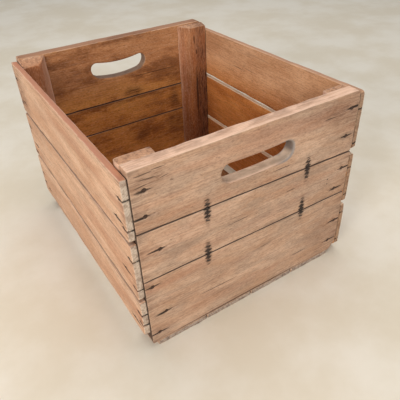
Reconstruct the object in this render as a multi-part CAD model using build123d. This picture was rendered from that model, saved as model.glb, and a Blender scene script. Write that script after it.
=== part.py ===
from build123d import *
import os

os.makedirs("parts", exist_ok=True)

# Wooden apple crate, all sizes in millimetres.
# X runs along the end panels, Y along the crate, Z up. The origin is the centre of the base.

# Overall sizes
end_width = 342.0
crate_length = 414.0
crate_height = 290.0
end_thickness = 19.0
slat_thickness = 9.0
bottom_thickness = 8.0
joint_gap = 0.8
arris_radius = 0.8
tolerance = 0.01

half_end = end_width / 2
half_length = crate_length / 2
slat_face = half_end + slat_thickness
inner_end_face = half_length - end_thickness

# End panels: three edge-jointed boards each, heights of the joints above the floor (left, right)
front_upper_joint = (205.0, 195.5)
front_lower_joint = (128.0, 124.0)
back_upper_joint = (177.5, 177.5)
back_lower_joint = (124.0, 124.0)
worn_top_corner = 6.0
rounded_top_corner = 10.0
broken_bottom_corner = 13.0

# Handholds: curved slots, half length between end arcs, half height, rise of the ends
front_slot = {"x": 2.0, "z": 237.5, "half": 42.5, "radius": 13.5, "rise": 1.5}
back_slot = {"x": -5.0, "z": 236.5, "half": 38.5, "radius": 13.5, "rise": 4.0}
slot_edge_wear = 1.5

# Corner cleats: plain at the front, bevelled on their inner side at the back
cleat_thickness = 15.0
front_left_cleat = {"width": 45.0, "top": 290.0}
front_right_cleat = {"width": 37.0, "top": 286.0}
back_left_cleat = {"side": -1, "width": 42.0, "bevel": 15.0, "top": 289.5, "front_top": 279.0}
back_right_cleat = {"side": 1, "width": 54.0, "bevel": 20.0, "top": 288.0, "front_top": 284.0}

# Side slats: heights of the lower edge (front, back) and the upper edge (front, back)
left_top_slat_edges = ((197.0, 198.0), (282.5, 282.5))
left_middle_slat_edges = ((101.0, 114.0), (193.0, 194.0))
left_bottom_slat_edges = ((32.0, 31.0), (96.5, 109.5))
right_top_slat_edges = ((191.0, 189.5), (286.0, 275.0))
right_middle_slat_edges = ((103.0, 96.5), (187.5, 183.5))
right_bottom_slat_edges = ((6.0, 8.0), (95.5, 91.5))
slat_corner_break = 9.0
slat_worn_corner = 6.0

# Bottom boards
bottom_left_edge = -162.0
bottom_right_edge = 156.0
bottom_count = 4
bottom_gap = 2.0

# Nails
nail_head_radius = 2.6
nail_head_thickness = 1.0
nail_shank_radius = 1.2
nail_length = 31.5
nail_set = 0.3
edge_nail_inset = 9.5
cleat_nail_inset = end_thickness + cleat_thickness / 2

# Nails through the end panels into the cleats: distance in from the panel edge, height
front_left_nails = [(16.9, 261.0), (14.6, 226.5), (27.3, 171.3), (11.0, 115.5), (25.5, 61.0), (12.6, 26.5)]
front_right_nails = [(12.6, 266.3), (16.1, 224.8), (13.6, 170.8), (23.0, 138.0), (10.1, 70.5), (17.6, 31.5)]
back_left_nails = [(14.0, 266.0), (20.0, 230.0), (15.0, 160.0), (22.0, 110.0), (12.0, 64.0), (18.0, 30.0)]
back_right_nails = [(13.0, 267.0), (19.0, 222.0), (14.0, 157.0), (21.0, 108.0), (12.0, 66.0), (17.0, 32.0)]

# Nails through the slats: heights of the pair into the panel edge, then the one into the cleat
left_slat_nail_heights = [(256.0, 215.0, 221.0), (168.4, 120.5, 138.5), (72.6, 53.0, 46.0)]
right_slat_nail_heights = [(260.0, 206.0, 232.0), (165.0, 116.0, 145.0), (80.0, 24.0, 52.0)]

# Nails through each bottom board, either side of its middle
bottom_nail_offset = 24.0

# Corrugated fasteners: wavy strips driven across the joints of the end panels
fastener_length = 32.0
fastener_waves = 10
fastener_swing = 2.8
fastener_sheet = 1.4
fastener_depth = 11.0
front_fasteners = [(-76.0, 197.0), (87.0, 196.5), (-77.0, 129.0), (84.0, 129.5)]
back_fasteners = [(-76.0, 178.0), (85.0, 177.0), (-77.0, 124.5), (84.0, 123.5)]


def prism_along_y(outline, y_start, thickness):
    """Solid with an outline given as (x, z) points, running along Y."""
    points = [(x, y_start, z) for x, z in outline]
    face = make_face(Polyline(*points, close=True))
    return extrude(face, amount=thickness, dir=(0, 1, 0))


def prism_along_x(outline, x_start, thickness):
    """Solid with an outline given as (y, z) points, running along X."""
    points = [(x_start, y, z) for y, z in outline]
    face = make_face(Polyline(*points, close=True))
    return extrude(face, amount=thickness, dir=(1, 0, 0))


def ease_long_edges(board, at_least):
    """Rounds the long arrises of a board a little."""
    long_edges = [edge for edge in board.edges() if edge.length > at_least]
    return fillet(long_edges, arris_radius)


def end_board(y_start, lower, upper):
    """One board of an end panel, between a lower and an upper (left, right) height."""
    outline = [(-half_end, lower[0]), (half_end, lower[1]), (half_end, upper[1]), (-half_end, upper[0])]
    return prism_along_y(outline, y_start, end_thickness)


def corner_edge(board, x, z):
    """The edge of an end board that runs through its thickness nearest a corner."""
    across = board.edges().filter_by(Axis.Y)
    return min(across, key=lambda edge: abs(edge.center().X - x) + abs(edge.center().Z - z))


def handhold_cutter(x, z, half, radius, rise, y_start):
    """Curved slot, its ends a little higher than its middle, right through an end panel."""
    midline = ThreePointArc((x - half, z + rise), (x, z), (x + half, z + rise))
    slot = Plane.XZ.offset(1 - y_start) * SlotArc(midline, height=2 * radius)
    return extrude(slot, amount=end_thickness + 2, dir=(0, 1, 0))


def wear_slot_rim(board, y_faces):
    """Breaks the rims of a handhold where hands have worn them."""
    arcs = [edge for edge in board.edges().filter_by(GeomType.CIRCLE) if edge.length > end_thickness]
    rims = [arc for arc in arcs if min(abs(arc.center().Y - y) for y in y_faces) < tolerance]
    return chamfer(rims, slot_edge_wear)


def nail(position, direction):
    """A flat-headed nail driven from position along direction, its head set just below the face."""
    head_base = nail_set + nail_head_thickness
    head = Pos(0, 0, nail_set + nail_head_thickness / 2) * Cylinder(nail_head_radius, nail_head_thickness)
    shank_length = nail_length - head_base
    shank = Pos(0, 0, head_base + shank_length / 2) * Cylinder(nail_shank_radius, shank_length)
    recess = Pos(0, 0, nail_set / 2) * Cylinder(nail_head_radius, nail_set)
    place = Plane(origin=position, z_dir=direction).location
    return place * (head + shank), place * recess


def corrugated_fastener(x, z, y_face, inward):
    """A wavy steel strip driven into an end panel across a joint."""
    step = fastener_length / fastener_waves
    start = z - fastener_length / 2
    half_sheet = fastener_sheet / 2
    zigzag = [(x + fastener_swing * (-1) ** i, start + i * step) for i in range(fastener_waves + 1)]
    right_side = [(px + half_sheet, pz) for px, pz in zigzag]
    left_side = [(px - half_sheet, pz) for px, pz in reversed(zigzag)]
    y_start = y_face if inward > 0 else y_face - fastener_depth
    return prism_along_y(right_side + left_side, y_start, fastener_depth)


def slat(x_start, lower, upper, broken_lower_front=0, worn_upper_front=0):
    """One side slat; its lower front corner can be broken off and its upper front corner worn."""
    outline = [(half_length, lower[1]), (half_length, upper[1])]
    if worn_upper_front:
        outline.append((-half_length + worn_upper_front, upper[0]))
        outline.append((-half_length, upper[0] - worn_upper_front))
    else:
        outline.append((-half_length, upper[0]))
    if broken_lower_front:
        outline.append((-half_length, lower[0] + broken_lower_front))
        outline.append((-half_length + broken_lower_front, lower[0]))
    else:
        outline.append((-half_length, lower[0]))
    return ease_long_edges(prism_along_x(outline, x_start, slat_thickness), crate_length / 2)


def plain_cleat(side, width, top):
    """A rectangular front corner cleat standing on the bottom boards."""
    height = top - bottom_thickness
    x = side * (half_end - width / 2)
    y = cleat_thickness / 2 - inner_end_face
    z = bottom_thickness + height / 2
    return ease_long_edges(Pos(x, y, z) * Box(width, cleat_thickness, height), height / 2)


def bevelled_cleat(side, width, bevel, top, front_top):
    """A back corner cleat with a wide bevel on its inner side and a top cut sloping forward."""
    front = inner_end_face - cleat_thickness
    back = inner_end_face
    profile = [(front, bottom_thickness), (back, bottom_thickness), (back, top), (front, front_top)]
    batten = prism_along_x(profile, min(side * half_end, side * (half_end - width)), width)
    inner = side * (half_end - width)
    outer = side * half_end
    corners = [(inner, back), (inner + side * bevel, front), (outer, front), (outer, back)]
    plan = make_face(Polyline(*[(x, y, 0) for x, y in corners], close=True))
    return batten & extrude(plan, amount=crate_height, dir=(0, 0, 1))


def bottom_spans():
    """Left and right edges of each bottom board."""
    total = bottom_right_edge - bottom_left_edge
    width = (total - bottom_gap * (bottom_count - 1)) / bottom_count
    starts = [bottom_left_edge + i * (width + bottom_gap) for i in range(bottom_count)]
    return [(start, start + width) for start in starts]


def bottom_board(span):
    """One lengthwise bottom board."""
    width = span[1] - span[0]
    centre = ((span[0] + span[1]) / 2, 0, bottom_thickness / 2)
    return ease_long_edges(Pos(*centre) * Box(width, crate_length, bottom_thickness), crate_length / 2)


def end_nails(left, right, y_face, inward):
    """Nails through one end panel into its two cleats."""
    places = [(-half_end + inset, y_face, z) for inset, z in left]
    places += [(half_end - inset, y_face, z) for inset, z in right]
    return [nail(place, (0, inward, 0)) for place in places]


def slat_nails(side, heights):
    """Nails through the slats of one side into the panel edges and the cleats."""
    nails = []
    for end in (-1, 1):
        edge_y = end * (half_length - edge_nail_inset)
        cleat_y = end * (half_length - cleat_nail_inset)
        for upper, lower, middle in heights:
            for y, z in ((edge_y, upper), (edge_y, lower), (cleat_y, middle)):
                nails.append(nail((side * slat_face, y, z), (-side, 0, 0)))
    return nails


def bottom_nails():
    """Nails up through the bottom boards into the end panels."""
    nails = []
    for span in bottom_spans():
        middle = (span[0] + span[1]) / 2
        for x in (middle - bottom_nail_offset, middle + bottom_nail_offset):
            for end in (-1, 1):
                nails.append(nail((x, end * (half_length - edge_nail_inset), 0), (0, 0, 1)))
    return nails


def overlaps(box_a, box_b):
    """True where two bounding boxes overlap."""
    in_x = box_a.min.X < box_b.max.X and box_b.min.X < box_a.max.X
    in_y = box_a.min.Y < box_b.max.Y and box_b.min.Y < box_a.max.Y
    in_z = box_a.min.Z < box_b.max.Z and box_b.min.Z < box_a.max.Z
    return in_x and in_y and in_z


def with_holes(board, fixings):
    """The board with a hole cut for every fixing that passes into it."""
    box = board.bounding_box()
    for fixing in fixings:
        if overlaps(box, fixing.bounding_box()):
            board = board - fixing
    return board


def front_end_boards():
    """The three boards of the front end panel, top first."""
    y_start = -half_length
    gap = joint_gap / 2
    top_lower = tuple(z + gap for z in front_upper_joint)
    middle_upper = tuple(z - gap for z in front_upper_joint)
    middle_lower = tuple(z + gap for z in front_lower_joint)
    bottom_upper = tuple(z - gap for z in front_lower_joint)
    top = end_board(y_start, top_lower, (crate_height, crate_height))
    top = fillet(corner_edge(top, half_end, crate_height), worn_top_corner)
    top = ease_long_edges(top, half_end)
    slot = handhold_cutter(**front_slot, y_start=y_start)
    top = wear_slot_rim(top - slot, (-half_length, -inner_end_face))
    middle = ease_long_edges(end_board(y_start, middle_lower, middle_upper), half_end)
    bottom = end_board(y_start, (bottom_thickness, bottom_thickness), bottom_upper)
    bottom = chamfer(corner_edge(bottom, half_end, bottom_thickness), broken_bottom_corner)
    return top, middle, ease_long_edges(bottom, half_end)


def back_end_boards():
    """The three boards of the back end panel, top first."""
    y_start = inner_end_face
    gap = joint_gap / 2
    top_lower = tuple(z + gap for z in back_upper_joint)
    middle_upper = tuple(z - gap for z in back_upper_joint)
    middle_lower = tuple(z + gap for z in back_lower_joint)
    bottom_upper = tuple(z - gap for z in back_lower_joint)
    top = end_board(y_start, top_lower, (crate_height, crate_height))
    top = fillet(corner_edge(top, half_end, crate_height), rounded_top_corner)
    top = ease_long_edges(top, half_end)
    slot = handhold_cutter(**back_slot, y_start=y_start)
    top = wear_slot_rim(top - slot, (half_length, inner_end_face))
    middle = ease_long_edges(end_board(y_start, middle_lower, middle_upper), half_end)
    bottom = end_board(y_start, (bottom_thickness, bottom_thickness), bottom_upper)
    return top, middle, ease_long_edges(bottom, half_end)


front_top, front_middle, front_bottom = front_end_boards()
back_top, back_middle, back_bottom = back_end_boards()
left_x = -slat_face
right_x = half_end

boards = {
    "front_end_top_board": front_top,
    "front_end_middle_board": front_middle,
    "front_end_bottom_board": front_bottom,
    "back_end_top_board": back_top,
    "back_end_middle_board": back_middle,
    "back_end_bottom_board": back_bottom,
    "front_left_cleat": plain_cleat(-1, **front_left_cleat),
    "front_right_cleat": plain_cleat(1, **front_right_cleat),
    "back_left_cleat": bevelled_cleat(**back_left_cleat),
    "back_right_cleat": bevelled_cleat(**back_right_cleat),
    "left_top_slat": slat(left_x, *left_top_slat_edges),
    "left_middle_slat": slat(left_x, *left_middle_slat_edges),
    "left_bottom_slat": slat(left_x, *left_bottom_slat_edges),
    "right_top_slat": slat(right_x, *right_top_slat_edges, slat_corner_break, slat_worn_corner),
    "right_middle_slat": slat(right_x, *right_middle_slat_edges),
    "right_bottom_slat": slat(right_x, *right_bottom_slat_edges, slat_corner_break),
}
bottom_names = ["bottom_board_left", "bottom_board_mid_left", "bottom_board_mid_right", "bottom_board_right"]
for name, span in zip(bottom_names, bottom_spans()):
    boards[name] = bottom_board(span)

nail_groups = {
    "front_cleat_nails": end_nails(front_left_nails, front_right_nails, -half_length, 1),
    "back_cleat_nails": end_nails(back_left_nails, back_right_nails, half_length, -1),
    "left_slat_nails": slat_nails(-1, left_slat_nail_heights),
    "right_slat_nails": slat_nails(1, right_slat_nail_heights),
    "bottom_board_nails": bottom_nails(),
}
fastener_groups = {
    "front_corrugated_fasteners": [corrugated_fastener(x, z, -half_length, 1) for x, z in front_fasteners],
    "back_corrugated_fasteners": [corrugated_fastener(x, z, half_length, -1) for x, z in back_fasteners],
}

fixings = [piece for group in nail_groups.values() for pair in group for piece in pair]
fixings += [piece for group in fastener_groups.values() for piece in group]

for name, board in boards.items():
    export_step(with_holes(board, fixings), f"parts/{name}.step")
for name, group in nail_groups.items():
    export_step(Compound(children=[driven for driven, recess in group]), f"parts/{name}.step")
for name, group in fastener_groups.items():
    export_step(Compound(children=group), f"parts/{name}.step")
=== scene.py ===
import math
import random

import bmesh
import bpy
from mathutils import Euler, Matrix, Vector, noise


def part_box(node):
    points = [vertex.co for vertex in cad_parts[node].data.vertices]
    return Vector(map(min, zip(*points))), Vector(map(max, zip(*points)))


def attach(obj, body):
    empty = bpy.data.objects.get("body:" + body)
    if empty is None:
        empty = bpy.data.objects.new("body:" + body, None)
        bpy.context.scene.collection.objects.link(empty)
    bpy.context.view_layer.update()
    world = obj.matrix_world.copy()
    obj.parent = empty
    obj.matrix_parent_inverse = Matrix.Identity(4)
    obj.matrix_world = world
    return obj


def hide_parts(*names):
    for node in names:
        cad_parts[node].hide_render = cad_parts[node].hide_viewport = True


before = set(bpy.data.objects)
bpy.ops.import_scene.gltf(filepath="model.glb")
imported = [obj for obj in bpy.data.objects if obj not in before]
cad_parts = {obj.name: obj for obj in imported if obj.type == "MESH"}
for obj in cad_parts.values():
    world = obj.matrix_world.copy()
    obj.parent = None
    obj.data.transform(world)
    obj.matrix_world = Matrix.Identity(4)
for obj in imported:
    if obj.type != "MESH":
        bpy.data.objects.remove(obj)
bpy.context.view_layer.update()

MM = 0.001

# Which way a board lies: its run, its width and its thickness, as axis numbers
LYING = {"end": (0, 2, 1), "slat": (1, 2, 0), "cleat": (2, 0, 1), "bottom": (1, 0, 2)}
UNIT = (Vector((1, 0, 0)), Vector((0, 1, 0)), Vector((0, 0, 1)))


# Shader maths

class Value:
    """A number or colour that varies over a surface. Its operators add Math nodes."""

    def __init__(self, finish, socket):
        self.finish = finish
        self.socket = socket

    def maths(self, operation, *others):
        values = dict(enumerate((self,) + others))
        return self.finish.node("Math", {"operation": operation}, values)

    def flipped(self, operation, other):
        return self.finish.node("Math", {"operation": operation}, {0: other, 1: self})

    def __add__(self, other):
        return self.maths("ADD", other)

    def __radd__(self, other):
        return self.flipped("ADD", other)

    def __sub__(self, other):
        return self.maths("SUBTRACT", other)

    def __rsub__(self, other):
        return self.flipped("SUBTRACT", other)

    def __mul__(self, other):
        return self.maths("MULTIPLY", other)

    def __rmul__(self, other):
        return self.flipped("MULTIPLY", other)

    def __truediv__(self, other):
        return self.maths("DIVIDE", other)

    def __pow__(self, other):
        return self.maths("POWER", other)

    def size(self):
        return self.maths("ABSOLUTE")


class Finish:
    """A material made of nodes, with one Principled shader."""

    def __init__(self, name):
        self.material = bpy.data.materials.new(name)
        self.material.use_nodes = True
        self.tree = self.material.node_tree
        self.tree.nodes.clear()

    def node(self, kind, settings=None, values=None, outputs=(0,)):
        """Adds a node, its settings first, then the values or links of its sockets."""
        made = self.tree.nodes.new("ShaderNode" + kind)
        for name, setting in (settings or {}).items():
            setattr(made, name, setting)
        for name, value in (values or {}).items():
            if isinstance(value, Value):
                self.tree.links.new(value.socket, made.inputs[name])
            else:
                made.inputs[name].default_value = value
        found = [Value(self, made.outputs[output]) for output in outputs]
        return found[0] if len(found) == 1 else found

    def noise(self, place, stretch, detail=2.0, roughness=0.5, distortion=0.0):
        """Noise whose cells are 1 / stretch long each way."""
        cells = self.node("VectorMath", {"operation": "MULTIPLY"}, {0: place, 1: stretch})
        values = {"Vector": cells, "Scale": 1.0, "Detail": detail}
        values.update({"Roughness": roughness, "Distortion": distortion})
        return self.node("TexNoise", {}, values)

    def ramp(self, value, low, high):
        """Rises smoothly from 0 at low to 1 at high."""
        values = {"Value": value, "From Min": low, "From Max": high}
        return self.node("MapRange", {"interpolation_type": "SMOOTHSTEP"}, values)

    def mix(self, share, first, second):
        """One colour fading into another."""
        values = {0: share, 6: first, 7: second}
        return self.node("Mix", {"data_type": "RGBA"}, values, (2,))

    def layered(self, colour, *layers):
        """A colour under layers, each a share from 0 to 1 and the tone it brings."""
        for share, tone in layers:
            colour = self.mix(share, colour, tone)
        return colour

    def shell(self, colour, roughness, height, depth, strength, metallic=0.0):
        """Closes the material: colour, roughness and relief on a Principled shader."""
        relief = {"Height": height, "Distance": depth, "Strength": strength}
        normal = self.node("Bump", {}, relief)
        surface = {"Base Color": colour, "Roughness": roughness, "Normal": normal, "Metallic": metallic}
        surface["Specular IOR Level"] = 0.35
        shader = self.node("BsdfPrincipled", {}, surface)
        self.node("OutputMaterial", {}, {"Surface": shader}, ())
        return self.material


def paint(red, green, blue):
    """A colour as it looks on a screen, 0 to 255, as the linear colour that shaders use."""
    linear = [((c / 255 + 0.055) / 1.055) ** 2.4 for c in (red, green, blue)]
    return (*linear, 1.0)


# Where nails and fasteners meet the surface

FLUSH = 0.1 * MM
NAIL_REACH = 6 * MM
FASTENER_REACH = 33.5 * MM


def outer_groups(node, axis, side, reach):
    """The points of each fixing in a group that lie on its outer face."""
    points = [vertex.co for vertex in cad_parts[node].data.vertices]
    outer = max(side * point[axis] for point in points)
    groups = []
    for point in points:
        if outer - side * point[axis] > FLUSH:
            continue
        near = next((group for group in groups if (group[0] - point).length < reach), None)
        if near:
            near.append(point)
        else:
            groups.append([point])
    return groups


def centre_of(points):
    """The middle of the box around some points."""
    low = Vector([min(point[i] for point in points) for i in range(3)])
    high = Vector([max(point[i] for point in points) for i in range(3)])
    return (low + high) / 2


NAILS = {}
for group, axis, side in (("front_cleat_nails", 1, -1), ("back_cleat_nails", 1, 1),
                          ("left_slat_nails", 0, -1), ("right_slat_nails", 0, 1),
                          ("bottom_board_nails", 2, -1)):
    NAILS[group] = [centre_of(points) for points in outer_groups(group, axis, side, NAIL_REACH)]
FASTENERS = {}
for group, side in (("front_corrugated_fasteners", -1), ("back_corrugated_fasteners", 1)):
    FASTENERS[group] = [centre_of(points) for points in outer_groups(group, 1, side, FASTENER_REACH)]


# Boards

# Colour of the sawn edges: pale as a painted highlight, for the light that falls on the top edges
EDGE_HIGHLIGHT = paint(242, 200, 170)

# How near its end a board's edges are measured, and how far past a board's edge its fasteners may be centred
END_REACH = 20 * MM
STRADDLE = 14 * MM


class Board:
    """A sawn board: the CAD node it stands for, how it lies, and how it is worn.

    outside: which way its outer face looks along its thickness, 1 or -1
    corners: (end, side, reach in mm, segments) of each rounded or broken corner
    edge_wear, chips: how far the edges sway and the corners are bitten, in mm
    grey: how much of the outer face has gone grey
    marks: (run, width, reach, spread in mm, tilt) of each scratch or knock
    scuffs_and_shade: (run, width, reach, spread in mm, strength) of each dark, scratched patch; on the back
    right cleat, painted shade over its front face
    mouth: narrowest and widest split at the end of the board, in mm
    slant: (inner side, bevel, drop of the front of the top) of a back cleat
    rim: colour of the sawn edges; on most boards a painted highlight, on the back top board painted shade
    """

    def __init__(self, node, kind, outside, seed, corners=(), edge_wear=0.5, chips=0.8, grey=0.4,
                 marks=(), scuffs_and_shade=(), mouth=(0.5, 1.0), slant=None, rim=EDGE_HIGHLIGHT):
        self.node = node
        self.kind = kind
        self.run, self.width, self.thick = LYING[kind]
        self.outside = outside
        self.seed = seed
        self.corners = corners
        self.edge_wear = edge_wear
        self.chips = chips
        self.grey = grey
        self.marks = marks
        self.mouth = mouth
        self.slant = slant
        self.scuffs_and_shade = scuffs_and_shade
        self.rim = rim
        self.low, self.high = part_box(node)
        self.length = self.high[self.run] - self.low[self.run]
        self.thickness = self.high[self.thick] - self.low[self.thick]
        self.edges = self.edge_lines()
        self.breadth = sum(high - low for low, high in self.edges) / 2
        panel = node.split("_")[0]
        fixed = {"end": panel + "_cleat_nails", "slat": panel + "_slat_nails", "bottom": "bottom_board_nails"}
        joined = {"end": panel + "_corrugated_fasteners"}
        self.nails = [p for p in NAILS.get(fixed.get(kind), ()) if self.holds(p)]
        self.fasteners = [p for p in FASTENERS.get(joined.get(kind), ()) if self.holds(p, STRADDLE)]

    def holds(self, point, reach=0.0):
        """True where a point on the outer face lies on this board."""
        inside_run = self.low[self.run] < point[self.run] < self.high[self.run]
        across = point[self.width]
        return inside_run and self.low[self.width] - reach < across < self.high[self.width] + reach

    def edge_lines(self):
        """(lower edge, upper edge) at the start and at the end of the board."""
        points = [vertex.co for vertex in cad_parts[self.node].data.vertices]
        ends = []
        for end in (self.low[self.run], self.high[self.run]):
            across = [p[self.width] for p in points if abs(p[self.run] - end) < END_REACH]
            ends.append((min(across), max(across)))
        return ends

    def across(self, share_along, share_across):
        """Place across the crate of a point given by its shares of the length and the width."""
        (low_0, high_0), (low_1, high_1) = self.edges
        low = low_0 + share_along * (low_1 - low_0)
        high = high_0 + share_along * (high_1 - high_0)
        return low + share_across * (high - low)


# Cells of a board's mesh, along and across it, and the narrow ones by its edges
CELL_LENGTH = 6 * MM
CELL_WIDTH = 6.5 * MM
EDGE_CELLS = (1.6 * MM, 4.2 * MM)
ROUNDED_ARRIS = 0.6 * MM


def cut_into_cells(bm, axis, places):
    """Cuts a mesh at each place along an axis."""
    for place in places:
        geometry = bm.verts[:] + bm.edges[:] + bm.faces[:]
        point = UNIT[axis] * place
        bmesh.ops.bisect_plane(bm, geom=geometry, dist=1e-6, plane_co=point, plane_no=UNIT[axis])


def cell_places(length, step):
    """Places for cuts: close together by both ends, then evenly spaced."""
    count = max(1, round(length / step))
    even = [length * i / count for i in range(1, count)]
    close = list(EDGE_CELLS) + [length - m for m in EDGE_CELLS]
    clear = EDGE_CELLS[-1] * 1.4
    return sorted(close + [p for p in even if clear < p < length - clear])


def plank(board):
    """The plain board, cut into small cells: run along X, width along Y, thickness along Z."""
    bm = bmesh.new()
    bmesh.ops.create_cube(bm, size=1.0)
    size = Vector((board.length, board.breadth, board.thickness))
    bmesh.ops.translate(bm, verts=bm.verts, vec=(0.5, 0.5, 0.5))
    bmesh.ops.scale(bm, verts=bm.verts, vec=size)
    for end, side, reach, segments in board.corners:
        corner = Vector((end * size.x, side * size.y, size.z / 2))
        upright = min(bm.edges, key=lambda e: (sum((v.co for v in e.verts), Vector()) / 2 - corner).length)
        bmesh.ops.bevel(bm, geom=[upright], offset=reach * MM, offset_type="OFFSET", affect="EDGES",
                        segments=segments, profile=0.5, material=-1)
    bmesh.ops.bevel(bm, geom=bm.edges[:], offset=ROUNDED_ARRIS, offset_type="OFFSET", affect="EDGES",
                    segments=2, profile=0.5, material=-1)
    cut_into_cells(bm, 0, cell_places(size.x, CELL_LENGTH))
    cut_into_cells(bm, 1, cell_places(size.y, CELL_WIDTH))
    cut_into_cells(bm, 2, [size.z / 3, size.z * 2 / 3])
    return bm


# Cells of each kind of wear, along, across and through a board, in metres, and what it adds to the seed
WEAR = {
    "dip": ((0.09, 0.03, 0.05), 0),
    "sway": ((0.035, 0.05, 0.2), 11),
    "rub": ((0.02, 0.1, 0.1), 23),
    "rough": ((0.05, 0.008, 0.006), 31),
    "bite": ((0.02, 0.02, 0.012), 41),
}


def wobble(kind, place, seed):
    """Smooth noise between 0 and 1 at a place, for one kind of wear."""
    cell, more = WEAR[kind]
    seed += more
    shifted = Vector([p / c for p, c in zip(place, cell)]) + Vector((seed * 7.3, seed * 3.1, seed * 5.7))
    return min(max(0.5 + 0.7 * noise.noise(shifted), 0), 1)


def fade(depth, reach):
    """1 at a face, falling to 0 at the reach below it."""
    return max(0.0, 1 - depth / reach)


def weather(bm, board):
    """Wears a plain board: its faces dip a little and its arrises are rubbed and chipped."""
    size = (board.length, board.breadth, board.thickness)
    for vertex in bm.verts:
        place = vertex.co.copy()
        depths = [min(p, s - p) for p, s in zip(place, size)]
        inward = [1 if p < s / 2 else -1 for p, s in zip(place, size)]
        dip = 0.4 * MM * wobble("dip", place, board.seed)
        place[2] += inward[2] * dip * fade(depths[2], 2 * MM)
        sway = board.edge_wear * MM * wobble("sway", place, board.seed)
        place[1] += inward[1] * sway * fade(depths[1], 5 * MM)
        near_arris = fade(depths[2], 2.5 * MM) * fade(depths[1], 3 * MM)
        rub = board.edge_wear * MM * (0.1 + 1.3 * wobble("rub", place, board.seed) ** 2)
        place[1] += inward[1] * rub * near_arris
        place[2] += inward[2] * rub * near_arris * 0.7
        near_end = fade(depths[0], 4 * MM)
        rough = 0.7 * MM * wobble("rough", place, board.seed)
        place[0] += inward[0] * rough * near_end
        near_tip = near_end * fade(depths[1], 9 * MM)
        bite = board.chips * MM * wobble("bite", place, board.seed + inward[0] + 2 * inward[1])
        place[0] += inward[0] * bite * near_tip
        place[1] += inward[1] * bite * near_tip * 0.8
        vertex.co = place


def lay(bm, board):
    """Puts a board in its place in the crate, between its two slanting edges."""
    for vertex in bm.verts:
        along, across, deep = vertex.co
        place = Vector()
        place[board.run] = board.low[board.run] + along
        place[board.width] = board.across(along / board.length, across / board.breadth)
        place[board.thick] = board.low[board.thick] + deep
        vertex.co = place
    bmesh.ops.recalc_face_normals(bm, faces=bm.faces)
    if bm.calc_volume(signed=True) < 0:
        bmesh.ops.reverse_faces(bm, faces=bm.faces)


def finished(bm, name, material, slot, *nodes):
    """Turns a mesh into a piece of the crate."""
    mesh = bpy.data.meshes.new(name)
    bm.to_mesh(mesh)
    bm.free()
    for polygon in mesh.polygons:
        polygon.use_smooth = True
    piece = bpy.data.objects.new(name, mesh)
    bpy.context.scene.collection.objects.link(piece)
    piece.data.materials.append(material)
    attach(piece, "root")
    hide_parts(*nodes)
    return piece


def subtract(bm, cutter):
    """Cuts one mesh out of another, with an exact boolean."""
    meshes = []
    for source in (bm, cutter):
        mesh = bpy.data.meshes.new("cutting")
        source.to_mesh(mesh)
        source.free()
        meshes.append(mesh)
    body = bpy.data.objects.new("body", meshes[0])
    tool = bpy.data.objects.new("tool", meshes[1])
    for thing in (body, tool):
        bpy.context.scene.collection.objects.link(thing)
    cut = body.modifiers.new("cut", "BOOLEAN")
    cut.operation = "DIFFERENCE"
    cut.solver = "EXACT"
    cut.use_self = True
    cut.object = tool
    result = bmesh.new()
    result.from_object(body, bpy.context.evaluated_depsgraph_get())
    for thing, mesh in zip((body, tool), meshes):
        bpy.data.objects.remove(thing)
        bpy.data.meshes.remove(mesh)
    drop_slivers(result)
    return result


def drop_slivers(bm):
    """Splits a closed mesh into triangles and removes the slivers that a cut leaves folded on it."""
    bmesh.ops.triangulate(bm, faces=bm.faces[:])
    by_corners = {}
    for face in bm.faces:
        by_corners.setdefault(frozenset(face.verts), []).append(face)
    folded = [face for same in by_corners.values() if len(same) > 1 for face in same]
    folded += [face for face in bm.faces if any(edge.is_boundary for edge in face.edges)]
    bmesh.ops.delete(bm, geom=list(dict.fromkeys(folded)), context="FACES")


PIT_RADIUS = 2.75 * MM
PIT_DEPTH = 1.0 * MM
SPLITS_OPEN = 14 * MM


def pit(bm, centre, axis, inward, radius, depth):
    """A shallow tapered pit around a nail's head."""
    turn = UNIT[axis].to_track_quat("Z", "Y").to_matrix().to_4x4()
    middle = centre + UNIT[axis] * inward * depth / 2
    across = (radius * 1.25, radius * 0.95) if inward > 0 else (radius * 0.95, radius * 1.25)
    bmesh.ops.create_cone(bm, cap_ends=True, segments=14, radius1=across[0], radius2=across[1],
                          depth=depth * 2.6, matrix=Matrix.Translation(middle) @ turn)


def split(bm, board, start, end, mouth, depth):
    """A wedge-shaped split from start to end, in (run, width) places, open at its start."""
    face = board.high[board.thick] if board.outside > 0 else board.low[board.thick]
    made = bmesh.ops.create_cube(bm, size=1.0)["verts"]
    direction = Vector(end) - Vector(start)
    for vertex in made:
        along, across, deep = vertex.co + Vector((0.5, 0.0, 0.5))
        gape = mouth * (1 - 0.85 * along)
        place = Vector()
        place[board.run] = start[0] + direction.x * along
        place[board.width] = start[1] + direction.y * along + across * gape * (1.0 if deep < 0.5 else 0.4)
        reach = -0.3 * depth + 1.3 * depth * deep * (1 - 0.6 * along)
        place[board.thick] = face - board.outside * reach
        vertex.co = place
    faces = list({face for vertex in made for face in vertex.link_faces})
    bmesh.ops.recalc_face_normals(bm, faces=faces)


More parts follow.
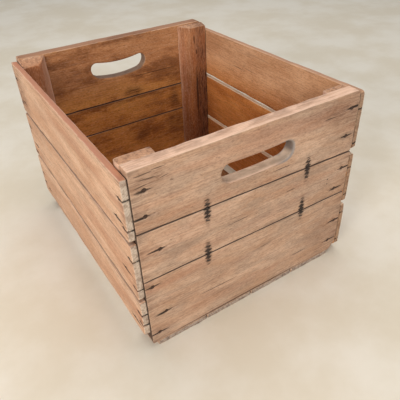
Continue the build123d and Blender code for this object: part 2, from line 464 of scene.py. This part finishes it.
def nail_cutters(board):
    """Pits round the nails of a board, and the splits that run from them along the grain."""
    bm = bmesh.new()
    dice = random.Random(board.seed)
    inward = -board.outside
    face = board.high[board.thick] if board.outside > 0 else board.low[board.thick]
    for nail in board.nails:
        centre = nail.copy()
        centre[board.thick] = face
        pit(bm, centre, board.thick, inward, PIT_RADIUS, PIT_DEPTH)
        along, across = nail[board.run], nail[board.width]
        ends = (board.low[board.run], board.high[board.run])
        end = min(ends, key=lambda e: abs(e - along))
        outward = 1 if end > along else -1
        if abs(end - along) < SPLITS_OPEN:
            start = (end + outward * 1 * MM, across + dice.uniform(-1.5, 1.5) * MM)
            split(bm, board, start, (along, across), dice.uniform(*board.mouth) * MM, dice.uniform(4, 7) * MM)
        tail = (along - outward * dice.uniform(9, 22) * MM, across + dice.uniform(-1.5, 1.5) * MM)
        split(bm, board, (along, across), tail, dice.uniform(0.7, 1.2) * MM, dice.uniform(1.5, 3) * MM)
    return bm


# How much wider a handhold is at each depth below a face, in mm, as its rim is worn round
FLARE = ((-2.0, 3.2), (0.0, 2.0), (0.9, 0.9), (2.4, 0.2), (5.0, 0.0))
HANDHOLD_SIDES = 32


def handhold_cutter(board, centre, half, radius, rise, end_wear_and_lip_light):
    """The cutter of a handhold: a bent slot, wider at both faces where the rim is worn round."""
    bm = bmesh.new()
    front, back = board.low.y, board.high.y
    stations = [(front + d * MM, w * MM) for d, w in FLARE]
    stations += [(back - d * MM, w * MM) for d, w in reversed(FLARE)]
    upright = Matrix.Rotation(math.pi / 2, 4, "X") @ Matrix.Rotation(math.pi / HANDHOLD_SIDES, 4, "Z")
    rings = []
    for depth, extra in stations:
        turned = Matrix.Translation((0, depth, 0)) @ upright
        made = bmesh.ops.create_circle(bm, segments=HANDHOLD_SIDES, radius=radius + extra, matrix=turned)
        ring = made["verts"]
        for vertex in ring:
            vertex.co.x += math.copysign(half, vertex.co.x) + max(0, vertex.co.x) / radius * extra * end_wear_and_lip_light
        rings.append(list({edge for vertex in ring for edge in vertex.link_edges}))
    for first, second in zip(rings, rings[1:]):
        bmesh.ops.bridge_loops(bm, edges=first + second)
    bmesh.ops.holes_fill(bm, edges=rings[0] + rings[-1])
    cut_into_cells(bm, 0, [half * i / 5 for i in range(-5, 6)])
    for vertex in bm.verts:
        x, z = vertex.co.x, vertex.co.z
        vertex.co.x = x + centre[0]
        vertex.co.z = z + centre[1] + rise * (x / half) ** 2
    bmesh.ops.recalc_face_normals(bm, faces=bm.faces)
    return bm


# Wood: pale, warm, dark and grey tones of the outer faces, then of the inner faces by the rim and lower down.
# The inner tones are partly the wood's own tone and partly painted shade, deepest lower down below the
# painted shadow line; a cleat's lower tones are painted shade

TONES = {
    "end": ((paint(216, 178, 148), paint(190, 148, 116), paint(104, 70, 50), paint(162, 140, 120)),
            (paint(202, 142, 92), paint(170, 108, 60), paint(88, 50, 26), paint(148, 110, 78)),
            (paint(218, 150, 72), paint(178, 108, 42), paint(72, 38, 14), paint(146, 98, 54))),
    "slat": ((paint(230, 188, 154), paint(206, 157, 122), paint(116, 74, 52), paint(182, 158, 138)),
             (paint(226, 174, 130), paint(204, 148, 102), paint(112, 70, 42), paint(176, 140, 108)),
             (paint(230, 152, 76), paint(204, 122, 50), paint(94, 48, 18), paint(156, 100, 58))),
    "cleat": ((paint(208, 142, 92), paint(176, 108, 62), paint(80, 46, 30), paint(148, 110, 84)),
              (paint(208, 142, 92), paint(176, 108, 62), paint(80, 46, 30), paint(148, 110, 84)),
              (paint(184, 114, 58), paint(150, 86, 40), paint(60, 32, 18), paint(120, 80, 52))),
    "bottom": ((paint(200, 176, 150), paint(176, 148, 122), paint(92, 66, 48), paint(156, 144, 132)),
               (paint(180, 126, 80), paint(150, 98, 56), paint(80, 48, 26), paint(130, 104, 80)),
               (paint(170, 114, 66), paint(140, 88, 46), paint(74, 42, 20), paint(124, 92, 62))),
}
STAIN = paint(24, 15, 12)
BARE = paint(232, 198, 168)
RUDDY = paint(176, 112, 80)
END_GRAIN = {"end": paint(208, 168, 138), "slat": paint(206, 190, 170), "cleat": paint(196, 148, 114),
             "bottom": paint(184, 166, 150)}
SHADED_END_GRAIN = paint(166, 136, 110)
PORE = paint(84, 62, 48)
RELIEF = 0.6 * MM
FASTENER_WAVE = 6.4 * MM
RUBBED = paint(140, 134, 128)
# Painted highlight on the faces inside a handhold that turn up, and painted shade on the rest of its bore
LIT_LIP, LIT_LIP_DUSKY = paint(214, 182, 152), paint(186, 156, 128)
BORE_SHADE = paint(98, 80, 68)

# Noise in the wood: cells to a metre along, across and through the board, detail, roughness and distortion
GRAIN = {
    "sway": ((3.0, 12.0, 12.0), 2.0, 0.5, 0.0),
    "ripple": ((9.0, 60.0, 60.0), 3.0, 0.5, 0.0),
    "fibre": ((26.0, 620.0, 620.0), 4.0, 0.7, 0.0),
    "streak": ((5.0, 170.0, 170.0), 4.0, 0.62, 0.2),
    "blotch": ((7.0, 24.0, 24.0), 3.0, 0.55, 0.6),
    "patch": ((13.0, 38.0, 38.0), 4.0, 0.6, 0.8),
    "mottle": ((46.0, 95.0, 95.0), 4.0, 0.65, 0.4),
    "grit": ((230.0, 620.0, 620.0), 3.0, 0.7, 0.0),
    "speck": ((110.0, 330.0, 330.0), 3.0, 0.6, 0.0),
    "check": ((9.0, 480.0, 480.0), 2.0, 0.5, 0.1),
    "ruddy": ((4.0, 30.0, 30.0), 3.0, 0.6, 0.4),
    "scratch": ((60.0, 420.0, 420.0), 3.0, 0.65, 0.5),
}

# Heights between which a tone changes: the painted shadow line inside, with painted shade below it, the
# painted shade below the top of a cleat, and above the slats
SHADOW_LINE = (0.17, 0.25)
CLEAT_SHADE_LINE = (0.2, 0.27)
ABOVE_SLATS = (285 * MM, 280 * MM)

# Which edges of a board, the lower and the upper, lie against another board, and how wide the dark seam is
SEAMS = {"top": (1, 0), "middle": (1, 1), "bottom": (1, 1), "left": (1, 0), "right": (0, 1)}
SEAM_WIDTH = (1.1 * MM, 0.4 * MM)


def middle_of(first, second, third):
    """The second smallest of three distances."""
    smaller = first.maths("MINIMUM", second)
    larger = first.maths("MAXIMUM", second)
    return smaller.maths("MAXIMUM", larger.maths("MINIMUM", third))


class Surface:
    """Where each place on a board lies, which way it faces, and how near it is to the board's edges."""

    def __init__(self, finish, board, dice):
        self.finish = finish
        self.place, facing = finish.node("TexCoord", outputs=("Object", "Normal"))
        self.axes = finish.node("SeparateXYZ", {}, {0: self.place}, (0, 1, 2))
        self.turned = finish.node("SeparateXYZ", {}, {0: facing}, (0, 1, 2))
        self.run, self.width, self.deep = (self.axes[i] for i in (board.run, board.width, board.thick))
        shift = [dice.uniform(2, 9) for _ in range(3)]
        shifted = {0: self.run + shift[0], 1: self.width + shift[1], 2: self.deep + shift[2]}
        self.grain = finish.node("CombineXYZ", {}, shifted)
        self.grown = {}

        self.outdoors = finish.ramp(self.turned[board.thick] * board.outside, -0.1, 0.4)
        self.on_end = finish.ramp(self.turned[board.run].size(), 0.6, 0.9)
        self.on_edge = finish.ramp(self.turned[board.width].size(), 0.6, 0.9)

        along = self.run - board.low[board.run]
        slope_low = (board.edges[1][0] - board.edges[0][0]) / board.length
        slope_high = (board.edges[1][1] - board.edges[0][1]) / board.length
        self.above = self.width - board.edges[0][0] - along * slope_low
        self.below = board.edges[0][1] - self.width + along * slope_high
        self.edge = self.above.maths("MINIMUM", self.below)
        self.tips = (board.length - along).maths("MINIMUM", along)
        skin = (self.deep - board.low[board.thick]).maths("MINIMUM", board.high[board.thick] - self.deep)
        self.arris = middle_of(self.edge, self.tips, skin)

    def noise(self, name):
        """The noise of one kind in this board's grain."""
        if name not in self.grown:
            self.grown[name] = self.finish.noise(self.grain, *GRAIN[name])
        return self.grown[name]


def late_wood(finish, board, surface, dice):
    """The dark part of each growth ring about the heart of the log, which lies off the board."""
    heart_across = board.across(0.5, 0.5) + dice.choice((-1, 1)) * dice.uniform(0.2, 0.9) * board.breadth
    heart_deep = board.low[board.thick] - board.outside * dice.uniform(30, 70) * MM
    sway = surface.noise("sway") - 0.5
    ripple = surface.noise("ripple") - 0.5
    side = surface.width - heart_across + sway * (30 * MM) + surface.run * dice.uniform(-0.05, 0.05)
    back = surface.deep - heart_deep + ripple * (8 * MM)
    rings = ((side * side + back * back) ** 0.5 / (dice.uniform(3.0, 4.4) * MM)).maths("FRACT")
    return finish.ramp(rings, 0.3, 0.85) * (1 - finish.ramp(rings, 0.9, 1.0))


def drying_checks(finish, surface):
    """Fine cracks along the grain, in patches."""
    return finish.ramp(surface.noise("check"), 0.69, 0.74) * finish.ramp(surface.noise("patch"), 0.42, 0.62)


def tones_of(finish, board, surface):
    """The pale, warm, dark and grey tones: outdoors, inside above the painted shadow line, and lower down
    inside as painted shade; a cleat is painted in shade below its top.
    """
    # Inside: the inner tone above the painted shadow line, the low tone below it as painted shade
    rim = finish.ramp(surface.axes[2], *SHADOW_LINE)
    outer_and_lit = finish.ramp(surface.axes[2], *CLEAT_SHADE_LINE) if board.kind == "cleat" else surface.outdoors
    return [finish.mix(outer_and_lit, finish.mix(rim, low, inner), outer)
            for outer, inner, low in zip(*TONES[board.kind])]


def faces(finish, board, surface, tones, late, checks):
    """Colour of the wide faces: mottling, grey and ruddy patches, rings, fibres, grit, specks and checks."""
    pale, warm, dark, grey = tones
    blotch, mottle, patch = (surface.noise(name) for name in ("blotch", "mottle", "patch"))
    streak, fibre, grit = (surface.noise(name) for name in ("streak", "fibre", "grit"))
    greyed = finish.ramp(patch, 0.4, 0.64) * surface.outdoors * board.grey
    ruddy = finish.ramp(surface.noise("ruddy"), 0.48, 0.68) * surface.outdoors
    specks = finish.ramp(surface.noise("speck"), 0.66, 0.74)
    return finish.layered(
        finish.mix(finish.ramp(blotch, 0.32, 0.68), pale, warm),
        (finish.ramp(mottle, 0.46, 0.66) * 0.5, warm),
        (finish.ramp(mottle, 0.48, 0.3) * 0.42, pale),
        (greyed, grey),
        (ruddy * 0.32, RUDDY),
        (late * 0.1, dark),
        (finish.ramp(streak, 0.52, 0.74) * 0.22, dark),
        (finish.ramp(fibre, 0.5, 0.72) * 0.36, dark),
        (finish.ramp(fibre, 0.5, 0.28) * 0.2, BARE),
        (finish.ramp(grit, 0.5, 0.7) * 0.36, dark),
        (finish.ramp(grit, 0.5, 0.32) * 0.2, BARE),
        (specks * 0.65, dark),
        (checks * 0.75, STAIN),
    )


def edges_and_ends(finish, board, surface, tones, late, colour):
    """Sawn edges carry a painted highlight, with painted shade on the back top board; ends go grey and crack,
    and the right slats' ends are painted in shade; arrises are rubbed pale, corners hold dirt.
    """
    _, warm, dark, _ = tones
    patch = finish.ramp(surface.noise("patch"), 0.45, 0.65)
    sawn = finish.mix(finish.ramp(surface.noise("fibre"), 0.42, 0.68) * 0.4, board.rim, warm)
    pores = finish.ramp(finish.noise(surface.place, (420.0, 420.0, 420.0), 3.0, 0.7), 0.5, 0.66)
    end_tone = SHADED_END_GRAIN if board.node.startswith("right") else END_GRAIN[board.kind]
    ends = finish.layered(end_tone, (pores * 0.28, PORE), (late * 0.2, PORE))
    rubbed = 1 - finish.ramp(surface.arris, 0.5 * MM, 1.9 * MM)
    rubbed = rubbed * finish.ramp(surface.noise("mottle"), 0.36, 0.56)
    edge_dirt = (1 - finish.ramp(surface.edge, 0.5 * MM, 5 * MM)) * patch * (1 - surface.on_edge * 0.8)
    tip_dirt = 1 - finish.ramp(surface.tips, 0.0, 18 * MM)
    tip_dirt = tip_dirt * finish.ramp(surface.noise("streak"), 0.45, 0.62)
    return finish.layered(
        colour,
        (surface.on_edge * 0.88, sawn),
        (surface.on_end * 0.85, ends),
        (rubbed * 0.5, BARE),
        (edge_dirt * 0.35 + tip_dirt * 0.4, dark),
    )


def seams_and_shadow(finish, board, surface, colour):
    """Dirt in the joints between boards, and a painted shadow on the end of a slat along its inner face,
    where it meets the end panel.
    """
    if board.kind in ("end", "cleat") or board.node.startswith("left"):
        lower, upper = SEAMS[board.node.split("_")[-2]]
        seam = finish.ramp(surface.above, *SEAM_WIDTH) * lower
        seam = seam.maths("MAXIMUM", finish.ramp(surface.below, *SEAM_WIDTH) * upper)
        if board.kind == "end":
            seam = seam.maths("MAXIMUM", finish.ramp(surface.tips, *SEAM_WIDTH))
        behind_slats = finish.ramp(surface.axes[2], *ABOVE_SLATS)
        strength = 0.4 if board.kind == "slat" else 0.85
        colour = finish.mix(seam * behind_slats * strength, colour, STAIN)
    if board.kind == "slat":
        inner = surface.deep - board.low[0] if board.outside > 0 else board.high[0] - surface.deep
        shadow = surface.on_end * finish.ramp(inner, 1.9 * MM, 0.7 * MM)
        colour = finish.mix(shadow * 0.8, colour, STAIN)
    return colour


def damp_patches(finish, board, surface, dark, colour):
    """Damp has darkened the inside in patches."""
    ragged = surface.noise("blotch") + (surface.noise("mottle") - 0.5) * 0.5
    damp = finish.ramp(ragged, 0.5, 0.68) * (1 - surface.outdoors)
    return finish.mix(damp * (0.42 if board.kind == "end" else 0.12), colour, dark)


def rubbed_handhold(finish, board, surface, colour):
    """Hands and weather have greyed the rim of a handhold; inside the hole, the faces that turn up carry a
    painted highlight, strong in the front handhold and faint in the back one, and the rest is painted dark as
    shade.
    """
    centre, half, radius, rise, end_wear_and_lip_light = HANDHOLDS[board.node]
    x, _, z = surface.axes
    beside = x - centre[0]
    past = (beside.size() - half).maths("MAXIMUM", 0.0)
    bent = z - centre[1] - beside * beside * (rise / half ** 2)
    away = (past * past + bent * bent) ** 0.5 - radius
    ring = (1 - finish.ramp(away, 1.0 * MM, 4.0 * MM)) * finish.ramp(beside, 0.5 * half, 1.1 * half)
    colour = finish.mix(ring * 0.75 * end_wear_and_lip_light, colour, RUBBED)
    inside = 1 - finish.ramp(away, -0.5 * MM, 1.2 * MM)
    facing_up = finish.ramp(surface.turned[2], 0.2, 0.8)
    lip_highlight = finish.mix(finish.ramp(surface.noise("mottle"), 0.44, 0.64), LIT_LIP, LIT_LIP_DUSKY)
    # Painted highlight on faces that turn up, painted shade on the rest inside the hole
    bore_light_and_shade = finish.mix(facing_up * min(1.0, 0.3 + end_wear_and_lip_light), BORE_SHADE, lip_highlight)
    return finish.mix(inside * 0.85, colour, bore_light_and_shade)


def spot(surface, centre, reach, spread, tilt=0.0):
    """Distance from the middle of a slim spot, 1 at its border."""
    along = surface.run - centre[0]
    across = surface.width - centre[1]
    if tilt:
        along, across = along + across * tilt, across - along * tilt
    along = along / reach
    across = across / spread
    return (along * along + across * across) ** 0.5


def darkest(finish, spots, ragged):
    """How dark a place is under a set of spots with ragged borders."""
    nearest = None
    for away in spots:
        nearest = away if nearest is None else nearest.maths("MINIMUM", away)
    if nearest is None:
        return ragged * 0.0
    return 1 - finish.ramp(nearest + ragged, 0.55, 1.15)


def nail_stain(finish, board, surface):
    """How dark each place is stained by the nearest nail or fastener."""
    fibre = surface.noise("fibre")
    dice = random.Random(board.seed * 29 + 3)
    spots = []
    for point in board.nails:
        along, across = point[board.run], point[board.width]
        outward = 1 if along > 0 else -1
        spots.append(spot(surface, (along, across), 4.0 * MM, 2.4 * MM))
        reach = dice.uniform(11, 17) * MM
        centre = (along + outward * reach * dice.uniform(0.0, 0.6), across + dice.uniform(-0.6, 0.6) * MM)
        spots.append(spot(surface, centre, reach, dice.uniform(1.5, 2.1) * MM))
    halo = None
    for point in board.fasteners:
        waves = ((surface.width - point[board.width]) * (2 * math.pi / FASTENER_WAVE)).maths("SINE")
        away = spot(surface, (point[board.run], point[board.width]), 4.6 * MM, 17 * MM)
        spots.append(away + waves * 0.35)
        wide = 1 - finish.ramp(away + (fibre - 0.5) * 1.6, 0.8, 1.5)
        halo = wide if halo is None else halo.maths("MAXIMUM", wide)
    core = darkest(finish, spots, (fibre - 0.5) * 2.2) * 0.92
    return core if halo is None else core.maths("MAXIMUM", halo * 0.35)


def marks(finish, board, surface):
    """Scratches, knocks and dark patches of one board."""
    spots = [spot(surface, (x * MM, z * MM), reach * MM, spread * MM, tilt)
             for x, z, reach, spread, tilt in board.marks]
    return darkest(finish, spots, (surface.noise("fibre") - 0.5) * 1.5) * 0.72


def scuffed_and_shaded(finish, board, surface, dark, colour):
    """Dark patches with many fine scratches; on the back right cleat, painted shade darkens its front face.
    """
    scratched = finish.ramp(surface.noise("scratch"), 0.47, 0.62)
    for x, z, reach, spread, strength in board.scuffs_and_shade:
        near = 1 - finish.ramp(spot(surface, (x * MM, z * MM), reach * MM, spread * MM), 0.2, 1.2)
        # Darkening: scratched wear on most boards, painted shade on the back right cleat's front face
        worn = near * (0.4 + 0.6 * scratched) * (1 - surface.on_edge * 0.85)
        colour = finish.mix(worn * strength, colour, dark)
    return colour


def wood(board):
    """Old softwood, stained along the grain by its nails and fasteners."""
    finish = Finish("wood_" + board.node)
    dice = random.Random(board.seed * 17 + 5)
    surface = Surface(finish, board, dice)
    late = late_wood(finish, board, surface, dice)
    checks = drying_checks(finish, surface)
    tones = tones_of(finish, board, surface)
    dark = tones[2]

    colour = faces(finish, board, surface, tones, late, checks)
    colour = edges_and_ends(finish, board, surface, tones, late, colour)
    colour = seams_and_shadow(finish, board, surface, colour)
    colour = damp_patches(finish, board, surface, dark, colour)
    if board.node in HANDHOLDS:
        colour = rubbed_handhold(finish, board, surface, colour)

    outdoors, on_end = surface.outdoors, surface.on_end
    stained = outdoors.maths("MAXIMUM", on_end) if board.kind == "slat" else outdoors * (1 - on_end)
    stain = nail_stain(finish, board, surface) * stained
    stain = stain.maths("MAXIMUM", marks(finish, board, surface))
    colour = scuffed_and_shaded(finish, board, surface, dark, colour)
    colour = finish.mix(stain, colour, STAIN)

    roughness = 0.86 - late * 0.08 + stain * 0.05
    height = surface.noise("fibre") * 0.5 + late * 0.2 + surface.noise("streak") * 0.3
    height = height + surface.noise("mottle") * 0.25 - stain * 0.3 - checks
    return finish.shell(colour, roughness, height, RELIEF, 0.3)


def rusty_steel(name, bright, rust):
    """Old steel gone brown, with rougher rust patches."""
    finish = Finish(name)
    place = finish.node("TexCoord", outputs=("Object",))
    bloom = finish.noise(place, (900.0, 900.0, 900.0), 4.0, 0.6)
    grit = finish.noise(place, (3500.0, 3500.0, 3500.0), 3.0, 0.6)
    colour = finish.mix(finish.ramp(bloom, 0.4, 0.62), bright, rust)
    roughness = 0.55 + bloom * 0.35
    return finish.shell(colour, roughness, bloom * 0.6 + grit * 0.4, 0.15 * MM, 0.5, 0.35)


# The crate

ROUNDED = ((0, 0, 4, 3), (0, 1, 3, 3))
SLAT_WEAR = {"edge_wear": 0.6, "chips": 1.6, "mouth": (1.0, 2.3)}
LEFT_WEAR = {**SLAT_WEAR, "corners": ROUNDED, "grey": 0.2}
RIGHT_WEAR = {**SLAT_WEAR, "grey": 0.35}
# Colours of the sawn edges: the reddened and brown rims are tones of the wood, the shaded rim is painted
# shade on the back top board's edges, and the pale rim of the right middle and bottom slats is a painted
# highlight on their top edges, lit through the gaps
REDDENED_RIM, BROWN_RIM = paint(180, 118, 92), paint(176, 132, 104)
SHADED_RIM, GAP_EDGE_HIGHLIGHT = paint(158, 116, 90), paint(250, 226, 194)

BOARDS = [
    Board("front_end_top_board", "end", -1, 1, corners=[(1, 1, 6, 4)], edge_wear=0.6, chips=1.2, grey=0.45,
          marks=[(-154, 281, 11, 0.9, 0.05), (-148, 274, 13, 0.8, -0.08), (-158, 267, 9, 0.8, 0.1),
                 (-136, 283, 9, 0.7, 0.0), (-130, 270, 8, 0.7, 0.15), (120, 262, 14, 0.8, 0.0),
                 (40, 215, 16, 0.7, 0.0)],
          scuffs_and_shade=[(-146, 274, 30, 18, 0.6), (150, 266, 44, 26, 0.5), (100, 272, 50, 12, 0.35),
                  (-60, 222, 40, 8, 0.25), (165, 240, 80, 90, 0.3)]),
    Board("front_end_middle_board", "end", -1, 2, edge_wear=0.3, chips=0.6, grey=0.5,
          marks=[(-30, 160, 22, 0.7, 0.02), (60, 172, 12, 0.8, 0.0), (131, 161, 1.4, 1.4, 0.0),
                 (131, 153, 1.4, 1.4, 0.0)],
          scuffs_and_shade=[(60, 150, 70, 10, 0.3), (-120, 160, 40, 14, 0.3), (165, 160, 70, 90, 0.28)]),
    Board("front_end_bottom_board", "end", -1, 3, corners=[(1, 0, 13, 1)], edge_wear=0.3, chips=1.2,
          marks=[(-62, 57.5, 34, 0.9, -0.02), (20, 92, 12, 0.7, 0.0), (90, 40, 18, 0.8, 0.03),
                 (-20, 11, 150, 1.3, 0.0)],
          scuffs_and_shade=[(-60, 12, 110, 7, 0.4), (130, 60, 40, 20, 0.3), (165, 60, 70, 120, 0.3),
                  (-158, 24, 26, 24, 0.4)]),
    Board("back_end_top_board", "end", 1, 4, corners=[(1, 1, 10, 5)], chips=1.0,
          marks=[(66, 215, 54, 0.8, 0.0)], rim=SHADED_RIM,
          scuffs_and_shade=[(17, 187, 24, 13, 0.9), (100, 200, 20, 30, 0.5), (-140, 225, 40, 50, 0.5),
                  (20, 283, 90, 5, 0.4)]),
    # The tall dark patch at 102 mm darkens the panel beside the right cleat
    Board("back_end_middle_board", "end", 1, 5, edge_wear=0.3, chips=0.6,
          scuffs_and_shade=[(102, 152, 13, 34, 0.8), (10, 172, 60, 5, 0.5)]),
    Board("back_end_bottom_board", "end", 1, 6, edge_wear=0.3,
          scuffs_and_shade=[(100, 100, 24, 40, 0.7), (20, 90, 20, 14, 0.6), (-90, 100, 30, 10, 0.5)]),
    Board("left_top_slat", "slat", -1, 7, **LEFT_WEAR, rim=REDDENED_RIM,
          scuffs_and_shade=[(-60, 276, 170, 5, 0.35), (190, 240, 40, 60, 0.6)]),
    Board("left_middle_slat", "slat", -1, 8, **LEFT_WEAR,
          scuffs_and_shade=[(120, 112, 160, 6, 0.4), (-100, 190, 120, 4, 0.4)]),
    Board("left_bottom_slat", "slat", -1, 9, **LEFT_WEAR, scuffs_and_shade=[(60, 36, 150, 6, 0.4)]),
    Board("right_top_slat", "slat", 1, 10, **RIGHT_WEAR, corners=[(0, 0, 9, 1), (0, 1, 6, 3)],
          rim=BROWN_RIM),
    Board("right_middle_slat", "slat", 1, 11, **RIGHT_WEAR, rim=GAP_EDGE_HIGHLIGHT),
    Board("right_bottom_slat", "slat", 1, 12, **RIGHT_WEAR, corners=[(0, 0, 9, 1)], rim=GAP_EDGE_HIGHLIGHT),
    Board("front_left_cleat", "cleat", 1, 13, grey=0.3),
    Board("front_right_cleat", "cleat", 1, 14, grey=0.3),
    Board("back_left_cleat", "cleat", -1, 15, grey=0.3, slant=(1, 15 * MM, 10.5 * MM)),
    # On the back right cleat, the long dark patch over its front face is painted shade
    Board("back_right_cleat", "cleat", -1, 16, grey=0.3, slant=(0, 20 * MM, 4 * MM),
          marks=[(262, 145, 9, 1.6, 0.0), (238, 149, 5, 1.4, 0.0), (150, 148, 60, 2.4, 0.0)],
          scuffs_and_shade=[(150, 162, 260, 22, 0.9)]),
]
for number, name in enumerate(("left", "mid_left", "mid_right", "right")):
    BOARDS.append(Board("bottom_board_" + name, "bottom", -1, 20 + number, edge_wear=0.3, grey=0.6))

# Handholds: centre, half length, radius, rise of the ends, how far the right end is worn, which also sets how
# strong the painted highlight on the lower lip is
HANDHOLDS = {
    "front_end_top_board": ((2 * MM, 237.5 * MM), 42.5 * MM, 13.5 * MM, 1.5 * MM, 1.2),
    "back_end_top_board": ((-5 * MM, 236.5 * MM), 38.5 * MM, 13.5 * MM, 4 * MM, 0.0),
}


def slant_cleat(bm, board):
    """Bevels the inner side of a back cleat and slopes its top forward."""
    inner_side, bevel, drop = board.slant
    for vertex in bm.verts:
        along, across, deep = vertex.co
        share = abs(inner_side - across / board.breadth)
        front = 1 - deep / board.thickness
        turn = -1 if inner_side else 1
        vertex.co.y = across + turn * bevel * (1 - share) * front
        vertex.co.x = along * (1 - drop * front / board.length)


for board in BOARDS:
    bm = plank(board)
    weather(bm, board)
    if board.slant:
        slant_cleat(bm, board)
    lay(bm, board)
    if board.node in HANDHOLDS:
        bm = subtract(bm, handhold_cutter(board, *HANDHOLDS[board.node]))
    if board.nails:
        bm = subtract(bm, nail_cutters(board))
    finished(bm, board.node + "_worn", wood(board), board.kind + "_wood", board.node)

nail_steel = rusty_steel("rusty_nail_steel", paint(92, 70, 58), paint(52, 36, 28))
fastener_steel = rusty_steel("rusty_fastener_steel", paint(84, 74, 68), paint(44, 32, 27))
for group in NAILS:
    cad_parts[group].data.materials.clear()
    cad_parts[group].data.materials.append(nail_steel)
for group in FASTENERS:
    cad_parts[group].data.materials.clear()
    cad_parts[group].data.materials.append(fastener_steel)


# Floor, light and camera

def studio_floor():
    """A plain pale floor, well larger than the view."""
    bm = bmesh.new()
    bmesh.ops.create_grid(bm, x_segments=1, y_segments=1, size=6.0)
    mesh = bpy.data.meshes.new("floor")
    bm.to_mesh(mesh)
    bm.free()
    floor = bpy.data.objects.new("floor", mesh)
    bpy.context.scene.collection.objects.link(floor)
    finish = Finish("pale_floor")
    place = finish.node("TexCoord", outputs=("Object",))
    cloud = finish.noise(place, (5.0, 5.0, 5.0), 5.0, 0.6)
    colour = finish.mix(finish.ramp(cloud, 0.35, 0.65), paint(222, 208, 184), paint(232, 221, 202))
    floor.data.materials.append(finish.shell(colour, 0.8, cloud, 1 * MM, 0.1))


def area_light(name, place, aim, width, power, colour):
    """A soft rectangular light that looks at a point."""
    data = bpy.data.lights.new(name, "AREA")
    data.shape = "SQUARE"
    data.size = width
    data.energy = power
    data.color = colour
    light = bpy.data.objects.new(name, data)
    light.location = place
    light.rotation_euler = (Vector(aim) - Vector(place)).to_track_quat("-Z", "Y").to_euler()
    bpy.context.scene.collection.objects.link(light)


studio_floor()
area_light("key", (-2.2, -1.2, 1.0), aim=(0, 0, 0.15), width=0.8, power=34, colour=(1.0, 0.97, 0.93))
area_light("fill", (-0.3, -2.4, 1.4), aim=(0, 0, 0.1), width=2.0, power=18, colour=(0.98, 0.98, 1.0))
area_light("overhead", (0.2, 0.3, 2.4), aim=(0, 0, 0), width=2.4, power=34, colour=(1.0, 0.99, 0.97))

world = bpy.data.worlds.new("studio")
world.use_nodes = True
world.node_tree.nodes["Background"].inputs["Color"].default_value = (0.80, 0.88, 1.0, 1.0)
world.node_tree.nodes["Background"].inputs["Strength"].default_value = 0.4
bpy.context.scene.world = world
bpy.context.scene.view_settings.view_transform = "Standard"

lens = bpy.data.cameras.new("camera")
lens.lens = 41.6
lens.sensor_width = 36.0
lens.shift_x = -0.0305
lens.shift_y = -0.0071
lens.clip_start = 0.01
camera = bpy.data.objects.new("camera", lens)
camera.location = (-0.3077, -0.5784, 0.5461)
camera.rotation_euler = Euler([math.radians(a) for a in (53.17, 1.27, -33.70)])
bpy.context.scene.collection.objects.link(camera)
bpy.context.scene.camera = camera

bpy.context.view_layer.update()
